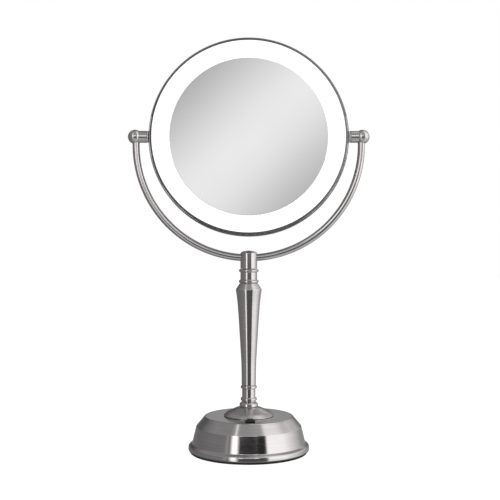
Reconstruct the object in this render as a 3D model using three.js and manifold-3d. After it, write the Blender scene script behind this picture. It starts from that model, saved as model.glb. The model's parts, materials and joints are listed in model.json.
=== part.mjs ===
// Lighted vanity mirror: a two-sided round mirror with a light ring on each face, which tilts in a
// semicircular yoke on a turned pedestal. Battery box, switch and driver board sit in the base.
// Millimetres, +Z up. Origin on the pedestal's axis at table level; the front faces -Y.

import * as THREE from 'three';
import { mergeVertices } from 'three/addons/utils/BufferGeometryUtils.js';
import Module from 'manifold-3d';

const wasm = await Module();
wasm.setup();

// ---------- driving dimensions ----------

const gap = 0.3;                 // air between two pieces that touch
const pivotHeight = 352.5;       // the head's tilt axis above the table
const restTilt = 3.5;            // degrees that the head leans back at rest

const headRadius = 112.2;        // outside of the casing ring
const casingWall = 1.3;
const casingHalfWidth = 7;
const bezelOuter = headRadius - casingWall - gap;
const bezelInner = 106.8;
const faceHeight = 8.5;          // bezel's crest above the head's middle plane
const mirrorRadius = 88.6;       // 7 inch viewing glass
const glassThickness = 2.6;
const glassSeat = 3.5;           // back of the glass above the middle plane
const magnifierSag = 5;          // depth of the concave glass

const yokeRadius = 126.6;        // centre line of the yoke's half circle
const yokeDrop = 9.3;            // half circle's centre below the tilt axis
const yokeTubeRadius = 4;
const yokeBoreRadius = 2.6;
const yokeCentre = pivotHeight - yokeDrop;
const yokeBottom = yokeCentre - yokeRadius;

const ballRadius = 8;
const ballX = 127.6;
const spigotRadius = 6.7;
const spigotEnd = 113.4;         // inner face of the elbow
const pinRadius = 2;
const pinBore = 1.15;
const pinInnerEnd = 98.5;

const rodRadius = 4.8;           // hollow threaded rod that clamps the whole pedestal
const rodBore = 3.2;
const rodHole = rodRadius + gap;
const rodBottom = 23.8;
const rodTop = 211.3;

const baseTop = 40;              // flat top of the base shell
const rimRadius = 67.6;
const plateBottom = 1.5;
const plateTop = 4.3;

const switchX = 1.7;             // knob's centre in the ON position
const switchY = -40;
const switchTravel = 3.6;

const cellRadius = 7.1;          // AA cell
const cellLength = 49.2;
const cellPitch = 15.7;
const cellAxisHeight = 12.3;

const leadRadius = 0.8;

const headFacets = 40;           // facets round the head's rings and discs
const baseFacets = 32;
const neckFacets = 20;
const smallFacets = 12;

// ---------- materials ----------

const finishes = {
  nickel: [0xa8a39e, 0.32, 1.0],
  steel: [0x9c9c9c, 0.4, 1.0],
  blackPlastic: [0x151515, 0.5, 0.0],
  whitePlastic: [0xececea, 0.5, 0.0],
  diffuser: [0xffffff, 0.45, 0.0],
  mirror: [0xd6d9db, 0.03, 1.0],
  rubber: [0x101010, 0.85, 0.0],
  iron: [0x4a4a4a, 0.7, 0.8],
  brass: [0xb5913d, 0.35, 1.0],
  nylon: [0xe6e4dc, 0.6, 0.0],
  cell: [0x2f3a46, 0.4, 0.3],
  board: [0x2d5a35, 0.6, 0.0],
};

function material(name) {
  const [color, roughness, metalness] = finishes[name];
  return new THREE.MeshStandardMaterial({ color, roughness, metalness });
}

const mirrorLight = new THREE.Group();
const head = new THREE.Group();  // x right, y up, z out of the front glass
head.position.set(0, 0, pivotHeight);
head.rotation.x = THREE.MathUtils.degToRad(90 - restTilt);
mirrorLight.add(head);

function place(parent, name, geometry, finish) {
  const mesh = new THREE.Mesh(geometry, material(finish));
  mesh.name = name;
  parent.add(mesh);
}

// ---------- solid helpers ----------

// A body turned about +Z from an outline of [radius, height] points, in either direction.
function turned(outline, segments = smallFacets) {
  let area = 0;
  outline.forEach(([r, z], i) => {
    const [nextR, nextZ] = outline[(i + 1) % outline.length];
    area += r * nextZ - nextR * z;
  });
  const points = outline.map(([r, z]) => new THREE.Vector2(r, z));
  if (area < 0) points.reverse();
  const onAxis = points.filter((p) => p.x === 0).length > 0;
  if (onAxis) {
    while (!(points[0].x === 0 && points[points.length - 1].x === 0)) points.push(points.shift());
  } else {
    points.push(points[0].clone());
  }
  return new THREE.LatheGeometry(points, segments).rotateX(Math.PI / 2);
}

const ring = (inner, outer, low, high, segments) =>
  turned([[inner, low], [outer, low], [outer, high], [inner, high]], segments);

const rod = (radius, low, high, segments) =>
  turned([[0, low], [radius, low], [radius, high], [0, high]], segments);

const block = (low, high) =>
  new THREE.BoxGeometry(high[0] - low[0], high[1] - low[1], high[2] - low[2]).translate(
    (low[0] + high[0]) / 2, (low[1] + high[1]) / 2, (low[2] + high[2]) / 2);

const alongX = (geometry) => geometry.rotateY(Math.PI / 2);
const alongY = (geometry) => geometry.rotateX(-Math.PI / 2);
const mirrored = (geometry, side) => (side > 0 ? geometry : geometry.rotateZ(Math.PI));

function solid(geometry) {
  const bare = geometry.clone();
  bare.deleteAttribute('normal');
  bare.deleteAttribute('uv');
  const merged = mergeVertices(bare, 1e-4);
  return new wasm.Manifold(new wasm.Mesh({
    numProp: 3,
    vertProperties: new Float32Array(merged.attributes.position.array),
    triVerts: new Uint32Array(merged.index.array),
  }));
}

function fromSolid(body) {
  const mesh = body.getMesh();
  const geometry = new THREE.BufferGeometry();
  geometry.setAttribute('position', new THREE.BufferAttribute(mesh.vertProperties, 3));
  geometry.setIndex(new THREE.BufferAttribute(mesh.triVerts, 1));
  geometry.computeVertexNormals();
  return geometry;
}

// One geometry joined with some, then cut by others.
function carve(geometry, { add = [], cut = [] }) {
  let body = solid(geometry);
  add.forEach((piece) => { body = body.add(solid(piece)); });
  cut.forEach((piece) => { body = body.subtract(solid(piece)); });
  return fromSolid(body);
}

// A route that is sampled exactly at its own points.
class Route extends THREE.Curve {
  constructor(points) {
    super();
    this.points = points;
  }
  getPoint(t) {
    const place = Math.min(Math.max(t, 0), 1) * (this.points.length - 1);
    const i = Math.min(Math.floor(place + 1e-9), this.points.length - 2);
    return this.points[i].clone().lerp(this.points[i + 1], place - i);
  }
  getPointAt(u) { return this.getPoint(u); }
  getTangentAt(u) {
    const step = 0.5 / (this.points.length - 1);
    return this.getPoint(u + step).sub(this.getPoint(u - step)).normalize();
  }
}

// A round tube along a route; bore = 0 gives a solid wire.
function tubeAlong(points, radius, sides, bore = 0) {
  const circle = (r, count) => Array.from({ length: count }, (_, i) => {
    const a = (2 * Math.PI * i) / count;
    return new THREE.Vector2(r * Math.cos(a), r * Math.sin(a));
  });
  const section = new THREE.Shape(circle(radius, sides));
  if (bore > 0) section.holes.push(new THREE.Path(circle(bore, 6).reverse()));
  return new THREE.ExtrudeGeometry(section, {
    steps: points.length - 1,
    extrudePath: new Route(points),
  });
}

// Points on an arc in the XZ plane, angles in degrees from +X towards +Z.
function arcXZ(cx, cz, radius, from, to, count, y = 0) {
  return Array.from({ length: count + 1 }, (_, i) => {
    const a = THREE.MathUtils.degToRad(from + ((to - from) * i) / count);
    return new THREE.Vector3(cx + radius * Math.cos(a), y, cz + radius * Math.sin(a));
  });
}

function hexNut(across, bore, low, high) {
  const corner = across / Math.sqrt(3);
  const shape = new THREE.Shape(Array.from({ length: 6 }, (_, i) => {
    const a = (Math.PI * i) / 3;
    return new THREE.Vector2(corner * Math.cos(a), corner * Math.sin(a));
  }));
  const hole = new THREE.Path();
  hole.absarc(0, 0, bore, 0, 2 * Math.PI, true);
  shape.holes.push(hole);
  return new THREE.ExtrudeGeometry(shape, {
    depth: high - low, bevelEnabled: false, curveSegments: 8,
  }).translate(0, 0, low);
}

// ---------- base ----------

function baseShell() {
  const outside = [
    [65, plateBottom], [66.7, 1.9], [rimRadius, 4], [67.1, 6.6], [65.8, 8.5], [63.6, 10.1],
    [63, 11], [60, 24], [59, 27.4], [58, 29.4], [51.2, 36.6], [48.8, 38.9], [46, baseTop],
    [rodHole, baseTop],
  ];
  const inside = [
    [rodHole, baseTop - 1.2], [45.2, baseTop - 1.2], [56.8, 28.2], [61.7, 10.6], [65.8, 6],
    [65.8, 3.6],
  ];
  const post = 1.9;              // half the length that the switch's post takes in the slot
  const slot = block(
    [switchX - switchTravel - post, switchY - 1.4, baseTop - 3],
    [switchX + post, switchY + 1.4, baseTop + 2]);
  return carve(turned([...outside, ...inside], baseFacets), { cut: [slot] });
}

function baseRosette() {
  return turned([
    [28, baseTop + gap], [27.2, 41.5], [25.5, 43.4], [22, 45.4], [17, 47.6], [12.6, 49.2],
    [rodHole, 49.8], [rodHole, 48.6], [12.2, 47.8], [21, 44.2], [25.4, baseTop + gap],
  ], 24);
}

const doorHinge = { y: 25.5, z: 2.9, pin: 0.8, reach: 33.2 };
const lidScrewCircle = 57;
const lidScrewAngles = [90, 210, 330];

function atAngle(geometry, radius, degrees) {
  const a = THREE.MathUtils.degToRad(degrees);
  return geometry.translate(radius * Math.cos(a), radius * Math.sin(a), 0);
}

function basePlate() {
  const opening = block([-31.2, -26.8, 0], [31.2, 27.4, 10]);
  const hingeHole = alongX(rod(doorHinge.pin + gap, -34, 34, 10)).translate(0, doorHinge.y, doorHinge.z);
  const screwHoles = lidScrewAngles.flatMap((angle) => [
    atAngle(rod(1.8, 0, 10), lidScrewCircle, angle),
    atAngle(rod(3.4, 0, 3.2), lidScrewCircle, angle),
  ]);
  return carve(rod(64.4, plateBottom, plateTop, baseFacets), { cut: [opening, hingeHole, ...screwHoles] });
}

function batteryDoor() {
  const trunnions = alongX(rod(doorHinge.pin, -doorHinge.reach, doorHinge.reach, 10))
    .translate(0, doorHinge.y, doorHinge.z);
  const thumbNotch = block([-8, -26, 1], [8, -23.5, 2.6]);
  return carve(block([-30.8, -26.4, 1.8], [30.8, 26.4, 4]), { add: [trunnions], cut: [thumbNotch] });
}

function batteryTray() {
  const hollow = block([-31.8, -27.2, 0], [31.8, 27.2, 19.9]);
  const ribs = [-1, 0, 1].map((i) =>
    block([i * cellPitch - 0.4, -24, 13.5], [i * cellPitch + 0.4, 24, 20.2]));
  const shell = carve(block([-33.2, -28.6, 4.7], [33.2, 28.6, 21.1]), { cut: [hollow] });
  return carve(shell, { add: ribs });
}

function cell(index) {
  const half = cellLength / 2;
  const direction = index % 2 ? -1 : 1;
  const can = turned([
    [0, -half], [cellRadius, -half], [cellRadius, half], [2.7, half], [2.7, half + 1], [0, half + 1],
  ]);
  if (direction < 0) can.rotateX(Math.PI);
  return alongY(can).translate((index - 1.5) * cellPitch, 0, cellAxisHeight);
}

function baseWeight() {
  return turned([
    [rodHole, 30], [12.4, 30], [12.4, 24], [31, 24], [31, 36.5], [29, 38.5], [rodHole, 38.5],
  ], 24);
}

const plateScrew = () => turned([
  [0, 1.8], [2.9, 1.8], [2.9, 3], [1.4, 3.1], [1.4, 12], [0, 12.6],
]);

// ---------- switch ----------

// Sloped thumb piece on a post that runs in the shell's slot.
function switchKnob() {
  const halfFoot = 5.4;
  const halfTop = 2.7;
  const knobHeight = 3.1;
  const low = baseTop + gap;
  const flank = new THREE.Shape([
    new THREE.Vector2(-halfFoot, low), new THREE.Vector2(halfFoot, low),
    new THREE.Vector2(halfFoot, low + 0.8), new THREE.Vector2(halfTop, low + knobHeight),
    new THREE.Vector2(-halfTop, low + knobHeight), new THREE.Vector2(-halfFoot, low + 0.8),
  ]);
  const depth = 7.2;
  const cap = new THREE.ExtrudeGeometry(flank, { depth, bevelEnabled: false })
    .rotateX(Math.PI / 2).translate(0, depth / 2, 0);
  const post = block([-1.5, -1.1, 36.6], [1.5, 1.1, low + 1]);
  return carve(cap, { add: [post] }).translate(switchX, switchY, 0);
}

function switchBody() {
  const well = block(
    [switchX - switchTravel - 1.9, switchY - 1.7, 35.6], [switchX + 1.9, switchY + 1.7, 40]);
  return carve(block([-6.6, -43.8, 29.8], [6.4, -36.2, 38.4]), { cut: [well] });
}

function driverBoard() {
  const board = block([-13, -47.5, 27.9], [13, -33.5, 29.5]);
  const chip = block([7.2, -44, 29], [11.8, -37, 31.2]);
  const coil = rod(2.4, 29, 33).translate(-9.8, -38, 0);
  return carve(board, { add: [chip, coil] });
}

// ---------- pedestal ----------

// Rounded bead of a turned neck, from its lower to its upper root.
const bead = (root, crest, low, high) => [
  [root, low], [crest, (low + high) / 2 - 0.6], [crest, (low + high) / 2 + 0.6], [root, high],
];

const bored = (outside) => {
  const low = outside[0][1];
  const high = outside[outside.length - 1][1];
  return [...outside, [rodHole, high], [rodHole, low]];
};

function footCollar() {
  return turned(bored([
    [10.2, 50.1], [10.4, 50.6], [10.3, 52.2], [10.1, 53.2], [9, 54.8], [8.2, 55.4],
  ]), neckFacets);
}

function lowerNeck() {
  return turned(bored([
    [8, 55.7], ...bead(8, 9.05, 56.3, 60.6), [7.5, 61], [7.5, 69.6],
    ...bead(7.6, 9.05, 70, 73.8), [8.05, 74.2],
  ]), neckFacets);
}

function column() {
  return turned(bored([
    [8.05, 74.5], [8.1, 88], [8.3, 99], [9, 113.5], [10.3, 131], [11.3, 148], [12.4, 164.5],
    [13.4, 173], [14.6, 180.8], [14.4, 181.9], [10.5, 188],
  ]), 24);
}

function upperNeck() {
  return turned(bored([
    ...bead(10.2, 11.1, 188.3, 192.4), [9.4, 192.7], [9.35, 200.4],
    ...bead(9.5, 11.05, 200.7, 204.4),
  ]), neckFacets);
}

function yokeHub() {
  const body = turned([
    [0, 204.7], [9.35, 204.7], [9.35, 221.2], [8.7, 222.9], [7, 224.1], [4, 224.9], [0, 225.1],
  ], neckFacets);
  const crossHole = tubeAlong(arcXZ(0, yokeCentre, yokeRadius, -96, -84, 6), yokeTubeRadius + gap, 16);
  return carve(body, {
    cut: [
      crossHole,
      rod(rodHole, 200, rodTop + gap),
      rod(2, 205, yokeBottom),
      alongY(rod(pinRadius + gap, 0, 12)).translate(0, 0, yokeBottom),
    ],
  });
}

const setScrew = () => alongY(turned([
  [0, 4.4], [1.2, 4.4], [2, 5.2], [2, 9], [1.1, 9], [1.1, 7], [0, 7],
])).translate(0, 0, yokeBottom);

// ---------- yoke and pivots ----------

function yokeTube() {
  const top = pivotHeight - 2.6;
  const points = [
    new THREE.Vector3(yokeRadius, 0, top),
    ...arcXZ(0, yokeCentre, yokeRadius, 0, -180, 30),
    new THREE.Vector3(-yokeRadius, 0, top),
  ];
  const wireHole = rod(1.5, yokeBottom - 8, yokeBottom);
  return carve(tubeAlong(points, yokeTubeRadius, 10, yokeBoreRadius), { cut: [wireHole] });
}

// Ball-ended elbow: takes the yoke's end from below and the pivot pin from the side.
function elbow(side) {
  const ball = new THREE.SphereGeometry(ballRadius, 16, 10).rotateZ(Math.PI / 2).translate(ballX, 0, 0);
  const spigot = alongX(rod(spigotRadius, spigotEnd, ballX, 16));
  const body = carve(ball, {
    add: [spigot],
    cut: [
      rod(yokeTubeRadius + gap, -12, -2.3).translate(yokeRadius, 0, 0),
      rod(1.8, -3, 1.2).translate(yokeRadius, 0, 0),
      alongX(rod(pinRadius + gap, 110, 121)),
      alongX(rod(1.8, 120, yokeRadius)),
    ],
  });
  return mirrored(body, side).translate(0, 0, pivotHeight);
}

function onPivot(geometry, side) {
  return mirrored(alongX(geometry), side).translate(0, 0, pivotHeight);
}

// ---------- head ----------

function casingRing() {
  const w = casingHalfWidth;
  const inner = headRadius - casingWall;
  const band = turned([
    [inner, -w], [headRadius - 0.8, -w], [headRadius, -w + 1], [headRadius, w - 1],
    [headRadius - 0.8, w], [inner, w],
  ], headFacets);
  return carve(band, { cut: [alongX(rod(pinRadius + gap, -120, 120))] });
}

// Half-round trim ring that holds a diffuser in the casing.
function bezel() {
  const low = 5.6;
  return turned([
    [bezelInner, low], [bezelOuter, low], [bezelOuter, 6.7], [109.9, 7.8], [108.9, faceHeight],
    [108.0, faceHeight],
  ], headFacets);
}

const diffuser = () => ring(mirrorRadius + 0.5, bezelOuter, 3.8, 5.3, headFacets);

const flatMirror = () => turned([
  [0, glassSeat], [mirrorRadius, glassSeat], [mirrorRadius, glassSeat + glassThickness - 0.5],
  [mirrorRadius - 0.5, glassSeat + glassThickness], [0, glassSeat + glassThickness],
], headFacets);

// Concave glass, dished towards the head's middle plane by the sag.
function magnifier() {
  const face = glassSeat + glassThickness;
  const steps = 3;
  const dish = (height) => Array.from({ length: steps + 1 }, (_, i) => {
    const r = (mirrorRadius * i) / steps;
    return [r, height - magnifierSag * (1 - (r / mirrorRadius) ** 2)];
  });
  return turned([...dish(face), ...dish(glassSeat).reverse()], headFacets);
}

// White moulded frame: seats both glasses and both diffusers, and parts the two light rings.
function mirrorFrame() {
  const seat = mirrorRadius + 0.4;
  const frame = turned([
    [80.5, -2.1], [seat, -2.1], [seat, -3.2], [92, -3.2], [92, -0.8], [106.6, -0.8],
    [106.6, 0.8], [92, 0.8], [92, 3.2], [80.5, 3.2],
  ], baseFacets);
  const notch = (side) => mirrored(block([92.8, -9, -3], [108, 9, 3]), side);
  return carve(frame, { cut: [notch(1), notch(-1)] });
}

const ledCount = 10;             // on each half strip

// Half of the light strip, on the inside of the casing ring, with its lamps facing inwards.
function ledStrip(side) {
  const outer = bezelOuter - 0.2;
  const inner = outer - 0.9;
  const [from, to] = [12, 168].map((a) => THREE.MathUtils.degToRad(a));
  const shape = new THREE.Shape();
  shape.absarc(0, 0, outer, from, to, false);
  shape.absarc(0, 0, inner, to, from, true);
  const strip = new THREE.ExtrudeGeometry(shape, { depth: 6, bevelEnabled: false, curveSegments: 16 })
    .translate(0, 0, -3);
  const lamps = Array.from({ length: ledCount }, (_, i) => {
    const a = from + ((to - from) * (i + 0.5)) / ledCount;
    return block([inner - 1.5, -1.75, -1.4], [inner + 0.5, 1.75, 1.4]).rotateZ(a);
  });
  const half = carve(strip, { add: lamps });
  return side > 0 ? half : half.rotateZ(Math.PI);
}

// Block behind the casing wall that turns on the pivot pin.
function pivotBlock(side) {
  const body = carve(block([104.8, -7, -3.4], [110, 7, 3.4]), {
    cut: [alongX(rod(pinRadius + gap, 100, 112))],
  });
  return mirrored(body, side);
}

function headLead() {
  return tubeAlong([
    new THREE.Vector3(98.2, 0, 0), new THREE.Vector3(97, 0, 0), new THREE.Vector3(96, 0.4, 0.2),
    new THREE.Vector3(95.4, 1.6, 0.8), new THREE.Vector3(95.6, 3.4, 1.6), new THREE.Vector3(96.6, 7, 2),
    new THREE.Vector3(99.5, 13, 2), new THREE.Vector3(103.4, 19.4, 2), new THREE.Vector3(105.4, 24.3, 2),
  ], leadRadius, 8);
}

// ---------- wiring in the stand ----------

// From the board, under the weight, up the rod, round the right arm and into the right pin.
function standLead() {
  const low = 22.4;
  const arm = arcXZ(0, yokeCentre, yokeRadius, -86, 0, 16);
  const turn = 1.6;
  return tubeAlong([
    new THREE.Vector3(0, -40, 27.5), new THREE.Vector3(0, -40, 24), new THREE.Vector3(0, -39.4, 22.9),
    new THREE.Vector3(0, -38, low), new THREE.Vector3(0, -1.6, low), new THREE.Vector3(0, -0.4, 22.9),
    new THREE.Vector3(0, 0, 24), new THREE.Vector3(0, 0, 214.6), new THREE.Vector3(0.4, 0, 215.8),
    new THREE.Vector3(1.6, 0, 216.5), new THREE.Vector3(4, 0, 216.8), ...arm,
    ...arcXZ(yokeRadius - turn, pivotHeight - turn, turn, 0, 90, 4),
    new THREE.Vector3(98.8, 0, pivotHeight),
  ], leadRadius, 8);
}

// ---------- assembly: stand ----------

place(mirrorLight, 'foot_ring', ring(52, 65.6, 0, 1.2, baseFacets), 'rubber');
place(mirrorLight, 'base_shell', baseShell(), 'nickel');
place(mirrorLight, 'base_plate', basePlate(), 'blackPlastic');
lidScrewAngles.forEach((angle, i) => {
  place(mirrorLight, `plate_screw_${i + 1}`, atAngle(plateScrew(), lidScrewCircle, angle), 'steel');
  place(mirrorLight, `plate_lug_${i + 1}`,
    atAngle(ring(1.7, 3.5, plateTop + gap, 13.5), lidScrewCircle, angle), 'steel');
});
place(mirrorLight, 'battery_door', batteryDoor(), 'blackPlastic');
place(mirrorLight, 'battery_tray', batteryTray(), 'blackPlastic');
[0, 1, 2, 3].forEach((i) => place(mirrorLight, `battery_${i + 1}`, cell(i), 'cell'));
place(mirrorLight, 'contact_strip_front', block([-30, -26.9, 6], [30, -26.5, 18]), 'steel');
place(mirrorLight, 'contact_strip_back', block([-30, 26.5, 6], [30, 26.9, 18]), 'steel');
place(mirrorLight, 'base_weight', baseWeight(), 'iron');
place(mirrorLight, 'switch_knob', switchKnob(), 'blackPlastic');
place(mirrorLight, 'switch_body', switchBody(), 'blackPlastic');
place(mirrorLight, 'driver_board', driverBoard(), 'board');
place(mirrorLight, 'base_rosette', baseRosette(), 'nickel');
place(mirrorLight, 'foot_collar', footCollar(), 'nickel');
place(mirrorLight, 'lower_neck', lowerNeck(), 'nickel');
place(mirrorLight, 'column', column(), 'nickel');
place(mirrorLight, 'upper_neck', upperNeck(), 'nickel');
place(mirrorLight, 'yoke_hub', yokeHub(), 'nickel');
place(mirrorLight, 'tie_rod', ring(rodBore, rodRadius, rodBottom, rodTop), 'steel');
place(mirrorLight, 'tie_rod_washer', ring(rodHole, 11.8, 28.5, 29.7, neckFacets), 'steel');
place(mirrorLight, 'tie_rod_nut', hexNut(15, rodHole, 24.6, 28.2), 'steel');
place(mirrorLight, 'hub_set_screw', setScrew(), 'steel');
place(mirrorLight, 'yoke_tube', yokeTube(), 'nickel');
place(mirrorLight, 'stand_lead', standLead(), 'whitePlastic');
[['left', -1], ['right', 1]].forEach(([name, side]) => {
  const pin = ring(pinBore, pinRadius, pinInnerEnd, 120.7);
  const frictionWasher = ring(pinRadius + gap, 6.5, headRadius + gap, spigotEnd - gap, 16);
  const springWasher = ring(pinRadius + gap, 3.5, 103.7, 104.5);
  const nut = hexNut(6.4, pinRadius + gap, 100.4, 103.4);
  place(mirrorLight, `elbow_${name}`, elbow(side), 'nickel');
  place(mirrorLight, `pivot_pin_${name}`, onPivot(pin, side), 'steel');
  place(mirrorLight, `friction_washer_${name}`, onPivot(frictionWasher, side), 'nylon');
  place(mirrorLight, `spring_washer_${name}`, onPivot(springWasher, side), 'steel');
  place(mirrorLight, `pivot_nut_${name}`, onPivot(nut, side), 'brass');
});

// ---------- assembly: head ----------

place(head, 'casing_ring', casingRing(), 'nickel');
place(head, 'front_bezel', bezel(), 'nickel');
place(head, 'rear_bezel', bezel().rotateX(Math.PI), 'nickel');
place(head, 'front_diffuser', diffuser(), 'diffuser');
place(head, 'rear_diffuser', diffuser().rotateX(Math.PI), 'diffuser');
place(head, 'front_mirror', flatMirror(), 'mirror');
place(head, 'rear_mirror', magnifier().rotateX(Math.PI), 'mirror');
place(head, 'mirror_frame', mirrorFrame(), 'whitePlastic');
place(head, 'led_strip_upper', ledStrip(1), 'whitePlastic');
place(head, 'led_strip_lower', ledStrip(-1), 'whitePlastic');
place(head, 'pivot_block_left', pivotBlock(-1), 'whitePlastic');
place(head, 'pivot_block_right', pivotBlock(1), 'whitePlastic');
place(head, 'head_lead', headLead(), 'whitePlastic');

export default mirrorLight;
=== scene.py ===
import json
import math
import bpy
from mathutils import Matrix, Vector


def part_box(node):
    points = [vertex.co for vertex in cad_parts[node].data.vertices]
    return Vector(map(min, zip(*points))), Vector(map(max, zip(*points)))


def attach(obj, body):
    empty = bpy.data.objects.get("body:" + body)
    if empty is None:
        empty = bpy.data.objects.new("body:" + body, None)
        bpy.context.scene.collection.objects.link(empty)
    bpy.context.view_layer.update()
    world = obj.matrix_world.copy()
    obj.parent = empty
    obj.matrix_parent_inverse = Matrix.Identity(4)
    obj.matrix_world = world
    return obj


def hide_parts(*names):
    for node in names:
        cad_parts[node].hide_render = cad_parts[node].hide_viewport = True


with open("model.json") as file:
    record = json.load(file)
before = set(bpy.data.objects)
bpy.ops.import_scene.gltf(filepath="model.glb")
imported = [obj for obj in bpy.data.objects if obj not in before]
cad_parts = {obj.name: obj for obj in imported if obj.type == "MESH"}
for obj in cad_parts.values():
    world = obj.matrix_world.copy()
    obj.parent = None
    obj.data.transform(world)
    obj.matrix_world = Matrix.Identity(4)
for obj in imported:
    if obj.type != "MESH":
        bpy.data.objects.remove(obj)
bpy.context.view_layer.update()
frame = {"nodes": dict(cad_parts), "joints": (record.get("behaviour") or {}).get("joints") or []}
nodes = frame["nodes"]
mm = 0.001
poleRadius = 0.002  # mm; an outline that ends on its axis starts as this tiny ring, which merging closes


def boxOf(node):
    low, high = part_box(node)
    return low, high, (low + high) / 2


def headLean():
    # the front glass's own normal says how far the head leans back
    faces = sorted(nodes["front_mirror"].data.polygons, key=lambda p: -p.area)
    front = [p.normal for p in faces if p.normal.y < -0.9][0]
    return math.atan2(front.z, -front.y)


tilt = headLean()
tiltJoint = [j for j in frame["joints"] if j["name"] == "head_tilt"][0]
pivotHeight = tiltJoint["pos_m"][2]
print("frame: pivot at", round(pivotHeight, 4), "lean", round(math.degrees(tilt), 2))

# camera

cameraSettings = {"distance": 0.99, "height": 0.2233, "side": 0.0014, "focal": 63.5, "shiftUp": 0.004}


def makeCamera(s):
    place = (s["side"], -s["distance"], s["height"])
    bpy.ops.object.camera_add(location=place, rotation=(math.pi / 2, 0, 0))
    camera = bpy.context.object
    camera.name = "frontCamera"
    camera.data.lens = s["focal"]
    camera.data.shift_y = s["shiftUp"]
    camera.data.clip_start = 0.02
    bpy.context.scene.camera = camera


makeCamera(cameraSettings)

# helpers for modelling


def clearSelection():
    if bpy.context.object and bpy.context.object.mode != "OBJECT":
        bpy.ops.object.mode_set(mode="OBJECT")
    bpy.ops.object.select_all(action="DESELECT")


def roundedOutline(corners, arcSteps):
    # corners are (radius, height) or (radius, height, fillet), in mm; fillets become arcs
    points = []
    for i, corner in enumerate(corners):
        here = Vector((corner[0], corner[1]))
        fillet = corner[2] if len(corner) > 2 else 0
        before, after = corners[i - 1], corners[(i + 1) % len(corners)]
        if fillet == 0:
            points.append(here)
            continue
        toBefore = Vector((before[0], before[1])) - here
        toAfter = Vector((after[0], after[1])) - here
        half = toBefore.angle(toAfter) / 2
        reach = min(fillet / math.tan(half), 0.95 * toBefore.length, 0.95 * toAfter.length)
        radius = reach * math.tan(half)
        bisector = (toBefore.normalized() + toAfter.normalized()).normalized()
        centre = here + bisector * (radius / math.sin(half))
        start = here + toBefore.normalized() * reach - centre
        end = here + toAfter.normalized() * reach - centre
        sweep = start.angle_signed(end)
        support = min(0.35, 0.2 * radius + 0.05)
        if toBefore.length > 2.5 * (reach + support):
            points.append(here + toBefore.normalized() * (reach + support))
        for step in range(arcSteps + 1):
            turn = -sweep * step / arcSteps
            cosine, sine = math.cos(turn), math.sin(turn)
            turned = (start.x * cosine - start.y * sine, start.x * sine + start.y * cosine)
            points.append(centre + Vector(turned))
        if toAfter.length > 2.5 * (reach + support):
            points.append(here + toAfter.normalized() * (reach + support))
    return points


def turnPiece(name, corners, around=96, arcSteps=6, closed=True, smoothAngle=35):
    # an outline drawn up from a circle, ring by ring, by extrude and resize
    rings = roundedOutline(corners, arcSteps)
    if closed:
        rings.append(rings[0].copy())
    rings = [(max(p.x, poleRadius) * mm, p.y * mm) for p in rings]
    clearSelection()
    radius, height = rings[0]
    bpy.ops.mesh.primitive_circle_add(vertices=around, radius=radius, location=(0, 0, height))
    piece = bpy.context.object
    piece.name = name
    bpy.ops.object.mode_set(mode="EDIT")
    bpy.ops.mesh.select_mode(type="EDGE")
    bpy.ops.mesh.select_all(action="SELECT")
    for nextRadius, nextHeight in rings[1:]:
        bpy.ops.mesh.extrude_edges_move(TRANSFORM_OT_translate={"value": (0, 0, nextHeight - height)})
        scale = nextRadius / radius
        bpy.ops.transform.resize(value=(scale, scale, 1), center_override=(0, 0, nextHeight))
        radius, height = nextRadius, nextHeight
    bpy.ops.mesh.select_all(action="SELECT")
    bpy.ops.mesh.remove_doubles(threshold=5e-6)
    bpy.ops.mesh.normals_make_consistent(inside=False)
    finishPiece(piece, smoothAngle)
    return piece


def finishPiece(piece, smoothAngle=35):
    clearSelection()
    bpy.context.view_layer.objects.active = piece
    piece.select_set(True)
    bpy.ops.object.transform_apply(location=True, rotation=True, scale=True)
    bpy.ops.object.shade_smooth_by_angle(angle=math.radians(smoothAngle))


def turnAside(piece, rotation, location):
    piece.rotation_euler = rotation
    piece.location = location
    finishPiece(piece)


def cutWith(piece, cutter):
    modifier = piece.modifiers.new("cut", "BOOLEAN")
    modifier.operation = "DIFFERENCE"
    modifier.solver = "EXACT"
    modifier.object = cutter
    clearSelection()
    bpy.context.view_layer.objects.active = piece
    piece.select_set(True)
    bpy.ops.object.modifier_apply(modifier="cut")
    bpy.data.objects.remove(cutter, do_unlink=True)


def pickFaces(piece, test):
    bpy.ops.object.mode_set(mode="EDIT")
    bpy.ops.mesh.select_mode(type="FACE")
    bpy.ops.mesh.select_all(action="DESELECT")
    bpy.ops.object.mode_set(mode="OBJECT")
    for face in piece.data.polygons:
        face.select = test(face)
    bpy.ops.object.mode_set(mode="EDIT")


# materials


def addNode(tree, kind, inputs=None, **settings):
    # a value that is a socket is linked, any other is set
    node = tree.nodes.new(kind)
    for key, value in settings.items():
        setattr(node, key, value)
    for key, value in (inputs or {}).items():
        if isinstance(value, bpy.types.NodeSocket):
            tree.links.new(value, node.inputs[key])
        else:
            node.inputs[key].default_value = value
    return node


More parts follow.
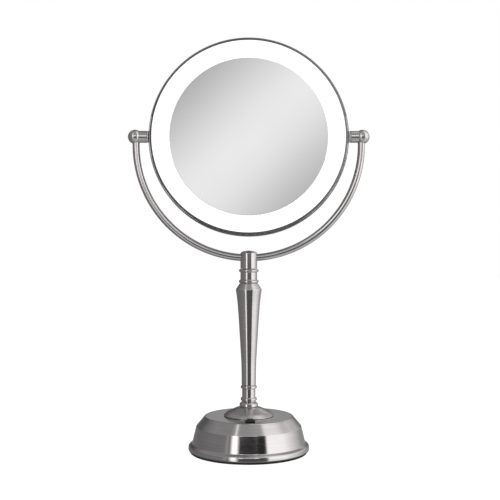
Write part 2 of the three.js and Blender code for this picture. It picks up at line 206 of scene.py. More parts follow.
class Paint:
    # a small wrapper that adds and links nodes in one material
    def __init__(self, name):
        self.material = bpy.data.materials.new(name)
        self.material.use_nodes = True
        self.tree = self.material.node_tree
        self.shader = self.tree.nodes["Principled BSDF"]
        self.coordinates = self.add("ShaderNodeTexCoord").outputs["Object"]

    def add(self, kind, inputs=None, **settings):
        return addNode(self.tree, kind, inputs, **settings)

    def maths(self, operation, first, second=0.0):
        return self.add("ShaderNodeMath", {0: first, 1: second}, operation=operation).outputs[0]

    def vectorMaths(self, operation, first, second=(0, 0, 0)):
        return self.add("ShaderNodeVectorMath", {0: first, 1: second}, operation=operation).outputs[0]

    def blend(self, grain, cloud, share=0.6):
        grainPart = self.maths("MULTIPLY", grain, share)
        return self.maths("ADD", grainPart, self.maths("MULTIPLY", cloud, 1 - share))

    def noise(self, vector, scale, detail=3.0, roughness=0.5):
        values = {"Vector": vector, "Scale": scale, "Detail": detail, "Roughness": roughness}
        return self.add("ShaderNodeTexNoise", values).outputs["Fac"]

    def between(self, value, low, high, lowIn=0.3, highIn=0.7):
        values = {"Value": value, "From Min": lowIn, "From Max": highIn, "To Min": low, "To Max": high}
        return self.add("ShaderNodeMapRange", values).outputs["Result"]

    def blendColour(self, value, first, second):
        ramp = self.add("ShaderNodeValToRGB", {"Fac": value})
        ramp.color_ramp.elements[0].position = 0.3
        ramp.color_ramp.elements[0].color = (*first, 1)
        ramp.color_ramp.elements[1].position = 0.7
        ramp.color_ramp.elements[1].color = (*second, 1)
        return ramp.outputs["Color"]

    def bump(self, height, strength, distance):
        values = {"Height": height, "Strength": strength, "Distance": distance}
        return self.add("ShaderNodeBump", values).outputs["Normal"]

    def into(self, **links):
        for key, value in links.items():
            socket = self.shader.inputs[key.replace("_", " ")]
            if isinstance(value, bpy.types.NodeSocket):
                self.tree.links.new(value, socket)
            else:
                socket.default_value = value


def turnedSpace(paint, origin=(0, 0, 0), rotation=(0, 0, 0)):
    # radius, height and angle round the piece's own turning axis
    moved = paint.add("ShaderNodeMapping", {"Vector": paint.coordinates, "Location": origin,
                                            "Rotation": rotation}, vector_type="TEXTURE").outputs[0]
    parts = paint.add("ShaderNodeSeparateXYZ", {0: moved}).outputs
    flat = paint.add("ShaderNodeCombineXYZ", {0: parts[0], 1: parts[1]}).outputs[0]
    radius = paint.add("ShaderNodeVectorMath", {0: flat}, operation="LENGTH").outputs["Value"]
    angle = paint.maths("ARCTAN2", parts[1], parts[0])
    return moved, radius, parts[2], angle


nickelLook = {
    "light": (0.715, 0.685, 0.685), "dark": (0.60, 0.574, 0.574), "smooth": 0.09, "worn": 0.17,
    "grooves": 3600, "lines": 900, "grooveDepth": 0.00001, "grooveStrength": 0.10, "stretch": 0.6,
    "grainTurn": 0.25, "grooveTurn": 2.4, "lineTurn": 1.1, "cloudSize": 38.0,
}


def brushedNickel(name, origin=(0, 0, 0), rotation=(0, 0, 0), axis="Z", look=nickelLook):
    # fine grooves that run round the turning axis, with cloudy wear between them
    paint = Paint(name)
    moved, radius, height, angle = turnedSpace(paint, origin, rotation)
    bands = []
    for scale, along in ((look["grooves"], look["grooveTurn"]), (look["lines"], look["lineTurn"])):
        across = paint.add("ShaderNodeCombineXYZ", {
            0: paint.maths("MULTIPLY", radius, scale), 1: paint.maths("MULTIPLY", height, scale),
            2: paint.maths("MULTIPLY", angle, along)}).outputs[0]
        bands.append(paint.noise(across, 1.0, 2.0, 0.6))
    cloud = paint.noise(moved, look["cloudSize"], 4.0)
    tone = paint.blend(bands[1], cloud)
    colour = paint.blendColour(tone, look["dark"], look["light"])
    # where a look gives one, a pale band inside a radius is a painted reflection of the light ring
    if "glowReflectionRadius" in look:
        inner = paint.maths("LESS_THAN", radius, look["glowReflectionRadius"])
        colour = paint.add("ShaderNodeMix", {0: inner, 6: colour, 7: (*look["glowReflectionColour"], 1)},
                           data_type="RGBA").outputs[2]
    paint.into(Base_Color=colour, Metallic=1.0)
    wear = paint.blend(bands[0], cloud)
    paint.into(Roughness=paint.between(wear, look["smooth"], look["worn"]))
    paint.into(Anisotropic=look["stretch"], Anisotropic_Rotation=look["grainTurn"])
    paint.into(Normal=paint.bump(bands[0], look["grooveStrength"], look["grooveDepth"]))
    paint.into(Tangent=paint.add("ShaderNodeTangent", direction_type="RADIAL", axis=axis).outputs[0])
    return paint.material


glassLook = {"dim": (0.905, 0.905, 0.905), "bright": (0.93, 0.93, 0.93), "hazeSize": 14.0,
             "smooth": 0.004, "worn": 0.02}


def mirrorGlass(name, look=glassLook):
    # silvered glass with a very slight haze
    paint = Paint(name)
    haze = paint.noise(paint.coordinates, look["hazeSize"], 2.0)
    paint.into(Base_Color=paint.blendColour(haze, look["dim"], look["bright"]), Metallic=1.0)
    paint.into(Roughness=paint.between(haze, look["smooth"], look["worn"]))
    return paint.material


opalLook = {
    "white": (0.96, 0.96, 0.955), "whiter": (0.98, 0.98, 0.98), "warm": (1.0, 0.995, 0.985), "glow": 0.6,
    "cloudSize": 26.0, "grainSize": 2600.0, "grainDepth": 0.00002, "smooth": 0.38, "worn": 0.5,
}


def opalAcrylic(name, look=opalLook):
    # matt white acrylic, faintly lit from within
    paint = Paint(name)
    cloud = paint.noise(paint.coordinates, look["cloudSize"], 3.0)
    grain = paint.noise(paint.coordinates, look["grainSize"], 2.0)
    paint.into(Base_Color=paint.blendColour(cloud, look["white"], look["whiter"]))
    paint.into(Roughness=paint.between(grain, look["smooth"], look["worn"]))
    paint.into(Normal=paint.bump(grain, 0.08, look["grainDepth"]))
    paint.into(Emission_Color=paint.blendColour(cloud, look["warm"], (1.0, 1.0, 1.0)))
    paint.into(Emission_Strength=look["glow"])
    return paint.material


def moulded(name, colour, lift, smooth, worn, grainScale=2200.0, metallic=0.0, grainDepth=0.00003):
    # moulded or cast surface: cloudy colour, fine grain in the bump and the roughness
    paint = Paint(name)
    cloud = paint.noise(paint.coordinates, 45.0, 4.0)
    grain = paint.noise(paint.coordinates, grainScale, 3.0, 0.6)
    bright = tuple(min(1.0, c + lift) for c in colour)
    paint.into(Base_Color=paint.blendColour(cloud, colour, bright), Metallic=metallic)
    paint.into(Roughness=paint.between(grain, smooth, worn), Normal=paint.bump(grain, 0.25, grainDepth))
    return paint.material


softLook = dict(nickelLook, smooth=0.26, worn=0.34, stretch=0.3, grooveStrength=0.04)
hubLook = dict(nickelLook, smooth=0.11, worn=0.15, stretch=0.3, grooveStrength=0.03)
fineLook = dict(nickelLook, smooth=0.11, worn=0.16, stretch=0.4, grooveStrength=0.015)
# the bezels' trim is a darker copy of the nickel, painted shade for its dark reflections, with a pale band
# beside the light ring that is a painted reflection of its glow
paintedShadeAndGlowTrimLook = dict(fineLook, light=(0.24, 0.23, 0.23), dark=(0.19, 0.182, 0.182), smooth=0.14, worn=0.18,
                stretch=0.3, glowReflectionRadius=0.1083, glowReflectionColour=(0.9, 0.89, 0.89))
# the casing band is a darker copy of the nickel too: painted shade for its dark outer line
paintedShadeBandLook = dict(fineLook, light=(0.35, 0.337, 0.337), dark=(0.30, 0.289, 0.289), smooth=0.10, worn=0.14)
elbowLook = dict(fineLook, smooth=0.17, worn=0.22)
headSpace = {"origin": (0, 0, pivotHeight), "rotation": (math.pi / 2 - tilt, 0, 0)}
nickel = brushedNickel("brushedNickelTurned")
nickelSoft = brushedNickel("satinNickelTurned", look=softLook)
nickelHub = brushedNickel("brushedNickelUpright", look=hubLook)
headPaintedShade = brushedNickel("nickelHeadWithPaintedShade", **headSpace, axis="Y", look=paintedShadeBandLook)
trimPaintedShadeAndGlow = brushedNickel("nickelTrimWithPaintedShadeAndGlow", **headSpace, axis="Y", look=paintedShadeAndGlowTrimLook)
nickelSide = brushedNickel("brushedNickelElbow", (0, 0, pivotHeight), (0, math.pi / 2, 0), "X", elbowLook)
glass = mirrorGlass("silveredGlass")
opal = opalAcrylic("opalAcrylic")
blackAbs = moulded("blackAbs", (0.010, 0.010, 0.011), 0.010, 0.42, 0.58)
blackAbs.node_tree.nodes["Principled BSDF"].inputs["Specular IOR Level"].default_value = 0.35
rubber = moulded("blackRubber", (0.010, 0.010, 0.010), 0.010, 0.7, 0.9, 1500.0)
whiteAbs = moulded("whiteAbs", (0.83, 0.83, 0.81), 0.05, 0.4, 0.52)
nylon = moulded("naturalNylon", (0.84, 0.83, 0.80), 0.05, 0.45, 0.6)
iron = moulded("castWeight", (0.09, 0.09, 0.095), 0.05, 0.55, 0.8, 900.0, 0.6, 0.0001)
steel = moulded("zincSteel", (0.50, 0.50, 0.50), 0.12, 0.28, 0.42, 1800.0, 1.0)
brass = moulded("turnedBrass", (0.68, 0.50, 0.22), 0.08, 0.22, 0.36, 1800.0, 1.0)
cellJacket = moulded("cellJacket", (0.05, 0.08, 0.12), 0.03, 0.25, 0.35)
board = moulded("greenBoard", (0.03, 0.16, 0.07), 0.05, 0.35, 0.5, 1200.0)
leadJacket = moulded("leadJacket", (0.78, 0.78, 0.76), 0.05, 0.4, 0.55)
print("materials made")


def give(piece, material, body, slot, *replaced):
    piece.data.materials.clear()
    piece.data.materials.append(material)
    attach(piece, body)
    if replaced:
        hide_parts(*replaced)


# pedestal

baseRadius = boxOf("base_shell")[1].x / mm
baseTop = boxOf("base_shell")[1].z / mm
shellBottom = boxOf("base_shell")[0].z / mm
rodHole = 5.1

# outlines are (radius, height, fillet) in mm, from the bottom up
pedestal = {
    "baseShell": {
        "node": "base_shell", "around": 160,
        "outline": [
            (64.9, shellBottom, 0.4), (66.4, shellBottom, 1.0), (baseRadius, 3.2, 2.4),
            (baseRadius - 0.1, 7.7, 3.0), (63.4, 10.1, 1.3), (58.9, 28.6, 1.2), (49.3, baseTop, 2.0),
            (rodHole, baseTop), (rodHole, baseTop - 1.2), (48.0, baseTop - 1.2, 3), (57.4, 28.4, 3),
            (61.9, 10.4, 1), (65.9, 7, 3), (65.9, 3.6, 1),
        ],
    },
    "baseRosette": {
        "node": "base_rosette", "around": 128,
        "outline": [
            (26.4, baseTop + 0.3), (28.0, baseTop + 0.3, 0.3), (28.0, 40.9, 0.5), (24.6, 44.3, 9),
            (13.6, 49.1, 8), (10.8, 49.8, 1), (rodHole, 49.8), (rodHole, 48.6),
            (12.2, 47.8, 5), (23.2, 43.2, 5), (26.4, 41, 1),
        ],
    },
    "footCollar": {
        "node": "foot_collar", "around": 96,
        "outline": [
            (rodHole, 50.1), (9.9, 50.1, 0.3), (10.45, 51.2, 1.2), (10.2, 53.6, 1.6), (8.6, 54.9, 0.6),
            (8.1, 55.4, 0.2), (rodHole, 55.4),
        ],
    },
    "lowerNeck": {
        "node": "lower_neck", "around": 96,
        "outline": [
            (rodHole, 55.7), (7.9, 55.7, 0.2), (7.9, 56.8, 0.5), (9.05, 57.3, 0.9), (9.05, 59.8, 0.9),
            (7.5, 60.5, 0.5), (7.5, 70.2, 0.5), (9.05, 70.7, 0.9), (9.05, 73.2, 0.9), (7.9, 73.7, 0.3),
            (7.9, 74.2), (rodHole, 74.2),
        ],
    },
    "column": {
        "node": "column", "around": 128,
        "outline": [
            (rodHole, 74.5), (8.0, 74.5, 0.2), (8.08, 86, 60), (8.4, 100, 90), (10.1, 128.5, 200),
            (11.4, 150, 200), (12.9, 169, 160), (14.6, 181.1, 0.9), (10.5, 187.8, 0.3), (10.3, 188.0),
            (rodHole, 188.0),
        ],
    },
    "upperNeck": {
        "node": "upper_neck", "around": 96,
        "outline": [
            (rodHole, 188.3), (10.0, 188.3, 0.3), (10.1, 188.8, 0.3), (11.1, 189.5, 1.0),
            (11.1, 191.4, 1.0), (9.35, 192.3, 0.5), (9.35, 200.6, 0.5), (11.05, 201.4, 1.0),
            (11.05, 203.2, 1.0), (9.4, 204.2, 0.3), (9.2, 204.4), (rodHole, 204.4),
        ],
    },
    "yokeHub": {
        "node": "yoke_hub", "around": 96,
        "outline": [
            (0, 204.7), (9.35, 204.7, 0.2), (9.35, 222.2, 0.9), (6.5, 224.2, 5), (0, 225.05),
        ],
    },
}


def makePedestal(pieces):
    made = {}
    for name, s in pieces.items():
        made[name] = turnPiece(name, s["outline"], s["around"])
    return made


pedestalPieces = makePedestal(pedestal)
yokeSettings = {
    "tube": 4.0, "around": 32, "alongArc": 144, "ends": 6.7,  # straight ends run up into the elbows
    "socketRadius": 4.22, "socketRise": 0.15,  # the bore through the hub
}
yokeRadius = boxOf("yoke_tube")[1].x / mm - yokeSettings["tube"]
yokeBottom = boxOf("yoke_tube")[0].z / mm + yokeSettings["tube"]
yokeCentre = yokeBottom + yokeRadius


def boreHub(hub, s):
    clearSelection()
    place = (0, 0, (yokeBottom + s["socketRise"]) * mm)
    bpy.ops.mesh.primitive_cylinder_add(vertices=48, radius=s["socketRadius"] * mm, depth=0.04,
                                        location=place, rotation=(0, math.pi / 2, 0))
    cutWith(hub, bpy.context.object)
    finishPiece(hub)


boreHub(pedestalPieces["yokeHub"], yokeSettings)
for name, piece in pedestalPieces.items():
    finish = {"baseRosette": nickelSoft, "yokeHub": nickelHub}.get(name, nickel)
    give(piece, finish, "stand", "satin_nickel", pedestal[name]["node"])
print("pedestal turned")

# rubber foot ring

footRing = turnPiece("footRing", [(52, 0, 0.2), (65.5, 0, 0.3), (65.5, 1.2, 0.3), (52, 1.2, 0.2)], 160, 3)
give(footRing, rubber, "stand", "rubber", "foot_ring")

# switch knob

knobLow, knobHigh, knobMiddle = boxOf("switch_knob")
knobSettings = {
    "ridges": 4, "ridgeDepth": 0.00035, "pitch": 0.00034, "foot": 0.0008, "topWidth": 0.0055,
    "taper": 0.82, "softEdge": 0.00012, "gap": 0.0003,  # the gap keeps the knob clear of the base
}


def makeKnob(s):
    low = baseTop * mm + s["gap"]
    width, depth = knobHigh.x - knobLow.x, knobHigh.y - knobLow.y
    height = knobHigh.z - low
    clearSelection()
    bpy.ops.mesh.primitive_cube_add(size=1, location=(knobMiddle.x, knobMiddle.y, low + s["foot"] / 2),
                                    scale=(width, depth, s["foot"]))
    knob = bpy.context.object
    knob.name = "switchKnob"
    bpy.ops.object.transform_apply(location=True, rotation=True, scale=True)
    pickFaces(knob, lambda f: f.normal.z > 0.9)
    bpy.ops.mesh.extrude_region_move(TRANSFORM_OT_translate={"value": (0, 0, height - s["foot"])})
    bpy.ops.transform.resize(value=(s["topWidth"] / width, s["taper"], 1))
    for i in range(-s["ridges"], s["ridges"] + 1):
        bpy.ops.mesh.select_all(action="SELECT")
        bpy.ops.mesh.bisect(plane_co=(knobMiddle.x + i * s["pitch"], 0, 0), plane_no=(1, 0, 0))

    def inGroove(face):
        offset = (face.center.x - knobMiddle.x) / s["pitch"]
        return face.normal.z > 0.9 and round(offset - 0.5) % 2 == 0 and abs(offset) < s["ridges"]

    pickFaces(knob, inGroove)
    bpy.ops.mesh.extrude_region_move(TRANSFORM_OT_translate={"value": (0, 0, -s["ridgeDepth"])})
    bpy.ops.object.mode_set(mode="OBJECT")
    bevel = knob.modifiers.new("softEdges", "BEVEL")
    bevel.width = s["softEdge"]
    bevel.segments = 2
    bevel.limit_method = "ANGLE"
    bpy.ops.object.modifier_apply(modifier="softEdges")
    bpy.ops.object.mode_set(mode="EDIT")
    bpy.ops.mesh.select_all(action="SELECT")
    bpy.ops.mesh.normals_make_consistent(inside=False)
    finishPiece(knob)
    return knob


switchKnob = makeKnob(knobSettings)
give(switchKnob, blackAbs, "switch", "black_plastic", "switch_knob")
print("switch made")

# yoke and elbows


def makeYoke(s):
    clearSelection()
    bpy.ops.mesh.primitive_circle_add(vertices=s["around"], radius=s["tube"] * mm,
                                      location=(yokeRadius * mm, 0, yokeCentre * mm))
    yoke = bpy.context.object
    yoke.name = "yokeTube"
    bpy.ops.object.mode_set(mode="EDIT")
    bpy.ops.mesh.select_mode(type="EDGE")
    bpy.ops.mesh.select_all(action="SELECT")
    bpy.ops.mesh.spin(steps=s["alongArc"], angle=-math.pi, center=(0, 0, yokeCentre * mm), axis=(0, 1, 0))
    bpy.ops.mesh.extrude_edges_move(TRANSFORM_OT_translate={"value": (0, 0, s["ends"] * mm)})
    bpy.ops.object.mode_set(mode="OBJECT")
    # the first ring again, which is at the right arm's end
    for edge in yoke.data.edges:
        ends = [yoke.data.vertices[v].co for v in edge.vertices]
        edge.select = all(e.x > -0.01 and abs(e.z) < 1e-6 for e in ends)
    bpy.ops.object.mode_set(mode="EDIT")
    bpy.ops.mesh.extrude_edges_move(TRANSFORM_OT_translate={"value": (0, 0, s["ends"] * mm)})
    bpy.ops.mesh.select_all(action="DESELECT")
    bpy.ops.mesh.select_non_manifold()
    bpy.ops.mesh.fill_holes(sides=0)
    bpy.ops.mesh.select_all(action="SELECT")
    bpy.ops.mesh.remove_doubles(threshold=1e-6)
    bpy.ops.mesh.normals_make_consistent(inside=False)
    finishPiece(yoke)
    return yoke


yokeLook = dict(nickelLook, smooth=0.11, worn=0.15, stretch=0.3, grooveStrength=0.008, streaks=30.0)


def brushedYoke(name, look):
    # fine grooves round the tube's half circle
    paint = Paint(name)
    centre = (0, 0, yokeCentre * mm)
    moved, radius, height, angle = turnedSpace(paint, centre, (math.pi / 2, 0, 0))
    across = paint.add("ShaderNodeCombineXYZ", {
        0: paint.maths("MULTIPLY", radius, look["grooves"]),
        1: paint.maths("MULTIPLY", height, look["grooves"]),
        2: paint.maths("MULTIPLY", angle, look["streaks"])}).outputs[0]
    grooves = paint.noise(across, 1.0, 3.0, 0.7)
    cloud = paint.noise(moved, look["cloudSize"], 4.0)
    paint.into(Base_Color=paint.blendColour(cloud, look["dark"], look["light"]), Metallic=1.0)
    paint.into(Roughness=paint.between(cloud, look["smooth"], look["worn"]))
    paint.into(Normal=paint.bump(grooves, look["grooveStrength"], look["grooveDepth"]))
    outward = paint.vectorMaths("SUBTRACT", paint.coordinates, centre)
    along = paint.vectorMaths("CROSS_PRODUCT", outward, (0, 1, 0))
    paint.into(Anisotropic=look["stretch"], Anisotropic_Rotation=look["grainTurn"])
    paint.into(Tangent=paint.vectorMaths("NORMALIZE", along))
    return paint.material


yoke = makeYoke(yokeSettings)
give(yoke, brushedYoke("brushedNickelYoke", yokeLook), "stand", "satin_nickel", "yoke_tube")

elbowSettings = {
    "ball": 8.0, "ballSteps": 26, "spigot": 6.7, "grooveDepth": 0.25, "grooveWidth": 0.5, "collar": 1.0,
}
washerSettings = {"bore": 2.3, "rim": 6.5, "edge": 0.15}
sides = {"Right": 1, "Left": -1}


def elbowOutline(s):
    # a ball on a short spigot, with a fine groove near the spigot's face
    low, high, middle = boxOf("elbow_right")
    face, ballMiddle = low.x / mm, high.x / mm - s["ball"]
    crease = math.pi - math.asin(s["spigot"] / s["ball"])
    outline = []
    for i in range(s["ballSteps"] + 1):
        turn = crease * i / s["ballSteps"]
        outline.append((s["ball"] * math.sin(turn), ballMiddle + s["ball"] * math.cos(turn)))
    collar = face + s["collar"]
    outline += [
        (s["spigot"], collar + s["grooveWidth"], 0.1),
        (s["spigot"] - s["grooveDepth"], collar + s["grooveWidth"] / 2, 0.1),
        (s["spigot"], collar, 0.1), (s["spigot"], face, 0.35), (0, face),
    ]
    return outline


def washerOutline(s):
    low, high, middle = boxOf("friction_washer_right")
    inner, outer = low.x / mm, high.x / mm
    rim = [(s["rim"], inner, s["edge"]), (s["rim"], outer, s["edge"])]
    return [(s["bore"], inner), *rim, (s["bore"], outer)]


for side, way in sides.items():
    elbow = turnPiece("elbow" + side, elbowOutline(elbowSettings), 80, 3, closed=False, smoothAngle=28)
    turnAside(elbow, (0, way * math.pi / 2, 0), (0, 0, pivotHeight))
    give(elbow, nickelSide, "stand", "satin_nickel", "elbow_" + side.lower())
for side, way in sides.items():
    washer = turnPiece("frictionWasher" + side, washerOutline(washerSettings), 64, 3)
    turnAside(washer, (0, way * math.pi / 2, 0), (0, 0, pivotHeight))
    give(washer, nylon, "stand", "nylon", "friction_washer_" + side.lower())
print("yoke and elbows made")

# head

# outlines are (radius, distance from the middle plane, fillet) in mm; the back ones are turned over
headRadius = boxOf("casing_ring")[1].x / mm
bezelOutline = [(106.8, 5.6), (110.6, 5.6), (110.6, 8.5, 2.3), (108.2, 8.5, 0.5)]
diffuserOutline = [(89.1, 3.8), (110.5, 3.8), (110.5, 5.3), (97, 5.4, 30), (89.1, 5.0, 0.4)]
headPieces = {
    "casingRing": {
        "node": "casing_ring", "material": headPaintedShade, "slot": "satin_nickel", "around": 192,
        "outline": [(headRadius - 1.3, -7), (headRadius - 0.9, -7, 0.3), (headRadius, -3.4, 3),
                    (headRadius, 3.4, 3), (headRadius - 0.9, 7, 0.3), (headRadius - 1.3, 7)],
    },
    "frontBezel": {
        "node": "front_bezel", "material": trimPaintedShadeAndGlow, "slot": "satin_nickel", "around": 192,
        "outline": bezelOutline,
    },
    "rearBezel": {
        "node": "rear_bezel", "material": trimPaintedShadeAndGlow, "slot": "satin_nickel", "around": 192, "behind": True,
        "outline": bezelOutline,
    },
    "frontDiffuser": {
        "node": "front_diffuser", "material": opal, "slot": "diffuser", "around": 160,
        "outline": diffuserOutline,
    },
    "rearDiffuser": {
        "node": "rear_diffuser", "material": opal, "slot": "diffuser", "around": 160, "behind": True,
        "outline": diffuserOutline,
    },
    "frontMirror": {
        "node": "front_mirror", "material": glass, "slot": "mirror_glass", "around": 192,
        "outline": [(0, 3.5), (88.9, 3.5), (88.9, 5.9), (88.7, 6.1), (88.4, 6.1), (0, 6.1)],
    },
}
magnifierSettings = {"rim": 88.9, "face": 6.1, "thickness": 2.6, "sag": 5.0, "rings": 20}


def magnifierOutline(s):
    # a shallow dish of even thickness
    dish = []
    for i in range(s["rings"] + 1):
        dish.append((s["rim"] * i / s["rings"], -s["sag"] * (1 - (i / s["rings"]) ** 2)))
    face = [(r, s["face"] + z) for r, z in dish]
    back = [(r, s["face"] - s["thickness"] + z) for r, z in reversed(dish)]
    return face + back


headPieces["rearMirror"] = {
    "node": "rear_mirror", "material": glass, "slot": "mirror_glass", "around": 160, "behind": True,
    "outline": magnifierOutline(magnifierSettings),
}

for name, s in headPieces.items():
    piece = turnPiece(name, s["outline"], s["around"], 6, smoothAngle=30)
    flip = math.pi if s.get("behind") else 0
    turnAside(piece, (math.pi / 2 - tilt + flip, 0, 0), (0, 0, pivotHeight))
    give(piece, s["material"], "head", s["slot"], s["node"])
print("head made")

# finishes of the CAD nodes that stay

keptFinishes = {
    "base_plate": blackAbs, "battery_door": blackAbs, "battery_tray": blackAbs, "switch_body": blackAbs,
    "base_weight": iron, "driver_board": board, "tie_rod": steel, "tie_rod_washer": steel,
    "tie_rod_nut": steel, "hub_set_screw": steel, "contact_strip_front": steel,
    "contact_strip_back": steel, "stand_lead": leadJacket, "head_lead": leadJacket,
    "mirror_frame": whiteAbs, "led_strip_upper": whiteAbs, "led_strip_lower": whiteAbs,
    "pivot_block_left": whiteAbs, "pivot_block_right": whiteAbs,
}
for i in range(1, 5):
    keptFinishes[f"battery_{i}"] = cellJacket
for i in range(1, 4):
    keptFinishes[f"plate_screw_{i}"] = steel
    keptFinishes[f"plate_lug_{i}"] = steel
for side in ("left", "right"):
    keptFinishes[f"pivot_pin_{side}"] = steel
    keptFinishes[f"pivot_nut_{side}"] = brass
    keptFinishes[f"spring_washer_{side}"] = steel
for node, finish in keptFinishes.items():
    nodes[node].data.materials.clear()
    nodes[node].data.materials.append(finish)
print("finishes given to", len(keptFinishes), "CAD nodes")

# stage and light

# the floor glows evenly, and polished metal sees only a dim disc of it, of radius "shade", under the base: the
# disc is a painted contact shadow, seen only in reflections
stageSettings = {"floor": 12.0, "drop": 0.0002, "paper": 0.22, "glow": 0.92, "shade": 0.0715, "dim": 0.12}


def makeFloor(s):
    clearSelection()
    bpy.ops.mesh.primitive_plane_add(size=s["floor"], location=(0, 0, -s["drop"]))
    floor = bpy.context.object
    floor.name = "paperFloor"
    paint = Paint("paleFloor")
    paint.into(Base_Color=(s["paper"], s["paper"], s["paper"], 1), Roughness=0.9)
    paint.into(Emission_Color=(1, 1, 1, 1), Emission_Strength=s["glow"])
    path = paint.add("ShaderNodeLightPath")
    clear = paint.add("ShaderNodeBsdfTransparent")
    away = paint.add("ShaderNodeVectorMath", {0: paint.coordinates}, operation="LENGTH").outputs["Value"]
    # painted contact shadow: glossy rays within this radius see a dim grey floor instead of passing through
    near = paint.maths("LESS_THAN", away, s["shade"])
    shade = paint.add("ShaderNodeBsdfDiffuse", {"Color": (s["dim"], s["dim"], s["dim"], 1)})
    glossy = paint.add("ShaderNodeMixShader", {0: near, 1: clear.outputs[0], 2: shade.outputs[0]})
    mix = paint.add("ShaderNodeMixShader", {0: path.outputs["Is Glossy Ray"]})
    paint.tree.links.new(paint.shader.outputs[0], mix.inputs[1])
    paint.tree.links.new(glossy.outputs[0], mix.inputs[2])
    paint.tree.links.new(mix.outputs[0], paint.tree.nodes["Material Output"].inputs[0])
    floor.data.materials.append(paint.material)


makeFloor(stageSettings)

cardSettings = {"ahead": 1.0, "middle": 0.63, "width": 0.72, "height": 0.45, "dim": 0.385, "bright": 0.875,
                "reach": 0.37, "offset": 0.030, "wings": 0.205, "wingGlow": 1.0}


def makeCard(s):
    # a white card above the camera: its soft diagonal sweep shows in the glass, its bright wings in the elbows
    clearSelection()
    place = (0, -s["ahead"], s["middle"])
    bpy.ops.mesh.primitive_plane_add(size=1, location=place, rotation=(math.pi / 2, 0, 0))
    card = bpy.context.object
    card.name = "reflectorCard"
    card.scale = (s["width"], s["height"], 1)
    paint = Paint("cardGlow")
    parts = paint.add("ShaderNodeSeparateXYZ", {0: paint.coordinates}).outputs
    across = paint.maths("MULTIPLY", parts[0], s["width"])
    up = paint.maths("MULTIPLY", parts[1], s["height"])
    diagonal = paint.maths("SUBTRACT", paint.maths("SUBTRACT", across, up), s["offset"])
    slant = paint.maths("ABSOLUTE", diagonal)
    sweep = paint.add("ShaderNodeMapRange", {"Value": slant, "From Min": 0.0, "From Max": s["reach"],
                                             "To Min": s["bright"], "To Max": s["dim"]},
                      interpolation_type="SMOOTHSTEP").outputs["Result"]
    wings = paint.maths("GREATER_THAN", paint.maths("ABSOLUTE", across), s["wings"])
    glow = paint.maths("ADD", sweep, paint.maths("MULTIPLY", wings, s["wingGlow"]))
    paint.into(Base_Color=(0, 0, 0, 1), Emission_Color=(1, 1, 1, 1), Emission_Strength=glow)
    card.data.materials.append(paint.material)
    card.visible_camera = False
    card.visible_diffuse = False
    card.visible_shadow = False


makeCard(cardSettings)

# brightness of the studio: for each height in degrees, levels by compass angle (0 = in front, + = right)
studioLevels = [
    (-60, [(-180, 0.3), (-90, 0.2), (-30, 0.5), (0, 0.42), (60, 0.7), (120, 0.45), (180, 0.3)]),
    (-34, [(-180, 0.15), (-120, 0.17), (-52, 0.22), (-30, 0.7), (-10, 0.42), (34, 0.42), (60, 0.8),
           (115, 0.5), (150, 0.2), (180, 0.15)]),
    (-20, [(-180, 0.5), (-160, 0.2), (-120, 0.18), (-52, 0.22), (-38, 0.16), (-32, 1.2), (-26, 1.2),
           (-19, 0.09), (34, 0.09), (38, 0.9), (80, 1.0), (115, 0.6), (160, 0.3), (180, 0.5)]),
    (-6, [(-180, 0.55), (-162, 0.2), (-120, 0.18), (-50, 0.25), (-45, 0.42), (-39, 0.15), (-32, 1.5),
          (-26, 1.5), (-19, 0.08), (35, 0.08), (39, 1.2), (70, 1.3), (100, 0.85), (125, 0.42),
          (162, 0.3), (180, 0.55)]),
    (-1.6, [(-180, 0.3), (-162, 0.2), (-120, 0.18), (-50, 0.24), (-45, 0.41), (-39, 0.15), (-32, 1.7),
            (-26, 1.7), (-18, 0.06), (35, 0.06), (39, 1.3), (73, 1.35), (97, 0.9), (130, 0.42),
            (162, 0.2), (180, 0.3)]),
    (0.8, [(-180, 0.15), (-162, 0.15), (-120, 0.18), (-50, 0.24), (-45, 0.41), (-39, 0.3), (-32, 1.7),
           (-24, 1.7), (-16, 0.34), (30, 0.34), (38, 1.3), (75, 1.35), (96, 0.9), (135, 0.42),
           (162, 0.2), (180, 0.15)]),
    (6, [(-180, 0.12), (-162, 0.12), (-120, 0.18), (-50, 0.23), (-45, 0.40), (-39, 0.14), (-32, 1.9),
         (-26, 1.9), (-19, 0.02), (35, 0.02), (39, 1.35), (76, 1.35), (95, 1.0), (139, 0.42),
         (162, 0.18), (180, 0.12)]),
    (13, [(-180, 0.55), (-168, 0.08), (-120, 0.18), (-50, 0.23), (-45, 0.40), (-39, 0.14), (-32, 1.9),
          (-26, 1.9), (-19, 0.015), (35, 0.015), (39, 1.35), (76, 1.35), (95, 1.0), (139, 0.55),
          (168, 0.1), (180, 0.55)]),
    (21, [(-180, 0.06), (-150, 0.08), (-120, 0.18), (-50, 0.23), (-45, 0.40), (-39, 0.14), (-32, 1.9),
          (-26, 1.9), (-19, 0.015), (35, 0.015), (39, 1.4), (76, 1.35), (110, 0.9), (139, 0.6),
          (155, 0.4), (168, 0.06), (180, 0.06)]),
    (32, [(-180, 0.10), (-150, 0.20), (-60, 0.27), (-42, 0.4), (-34, 1.9), (-27, 1.3), (-22, 0.2),
          (36, 0.2), (42, 1.3), (90, 1.2), (120, 0.8), (150, 0.2), (158, 1.0), (168, 1.0), (174, 0.1),
          (180, 0.10)]),
    (42, [(-180, 0.17), (-150, 0.28), (-120, 0.30), (-60, 0.29), (-42, 0.4), (-34, 1.8), (-28, 0.4),
          (36, 0.40), (44, 1.2), (90, 1.1), (112, 0.6), (130, 0.3), (150, 0.4), (180, 0.17)]),
    (64, [(-180, 0.22), (-120, 0.30), (-62, 0.30), (-50, 0.5), (-46, 1.8), (-42, 0.4), (0, 0.36),
          (50, 0.42), (60, 1.1), (90, 1.05), (125, 0.6), (150, 0.4), (180, 0.22)]),
    (86, [(-180, 0.15), (-90, 0.18), (0, 0.36), (60, 0.8), (120, 0.6), (180, 0.15)]),
]


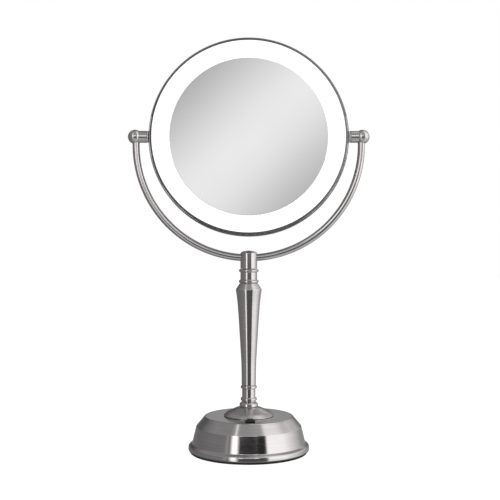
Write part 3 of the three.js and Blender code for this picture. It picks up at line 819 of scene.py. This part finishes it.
def makeWorld(levels):
    world = bpy.data.worlds.new("studio")
    bpy.context.scene.world = world
    world.use_nodes = True
    tree = world.node_tree
    tree.nodes.clear()

    def add(kind, inputs=None, **settings):
        return addNode(tree, kind, inputs, **settings)

    direction = add("ShaderNodeTexCoord").outputs["Generated"]
    parts = add("ShaderNodeSeparateXYZ", {0: direction}).outputs
    ahead = add("ShaderNodeMath", {0: parts[1], 1: -1.0}, operation="MULTIPLY").outputs[0]
    angle = add("ShaderNodeMath", {0: parts[0], 1: ahead}, operation="ARCTAN2").outputs[0]
    turn = add("ShaderNodeMapRange", {"Value": angle, "From Min": -math.pi, "From Max": math.pi}).outputs[0]
    height = add("ShaderNodeMath", {0: parts[2]}, operation="ARCSINE").outputs[0]
    colour, lower = None, None
    for degrees, walls in levels:
        ramp = add("ShaderNodeValToRGB", {"Fac": turn})
        stops = ramp.color_ramp.elements
        while len(stops) < len(walls):
            stops.new(0.5)
        for stop, (compass, level) in zip(stops, walls):
            stop.position = (compass + 180) / 360
            stop.color = (level, level, level, 1)
        if colour is None:
            colour, lower = ramp.outputs["Color"], degrees
            continue
        rise = add("ShaderNodeMapRange", {"Value": height, "From Min": math.radians(lower),
                                          "From Max": math.radians(degrees)}).outputs[0]
        mix = add("ShaderNodeMix", {0: rise, 6: colour, 7: ramp.outputs["Color"]}, data_type="RGBA")
        colour, lower = mix.outputs[2], degrees
    room = add("ShaderNodeBackground", {"Color": colour, "Strength": 1.0})
    paper = add("ShaderNodeBackground", {"Color": (1, 1, 1, 1), "Strength": 1.0})
    path = add("ShaderNodeLightPath")
    seen = path.outputs["Is Camera Ray"]
    both = add("ShaderNodeMixShader", {0: seen, 1: room.outputs[0], 2: paper.outputs[0]})
    add("ShaderNodeOutputWorld", {0: both.outputs[0]})


makeWorld(studioLevels)

lampSettings = {"height": 1.8, "forward": 0.3, "size": 1.6, "power": 16}


def makeLamp(s):
    bpy.ops.object.light_add(type="AREA", location=(0, -s["forward"], s["height"]))
    lamp = bpy.context.object
    lamp.name = "softLamp"
    lamp.data.size = s["size"]
    lamp.data.energy = s["power"]
    lamp.visible_camera = False
    lamp.visible_glossy = False


makeLamp(lampSettings)
bpy.context.scene.view_settings.view_transform = "Standard"
print("stage lit")
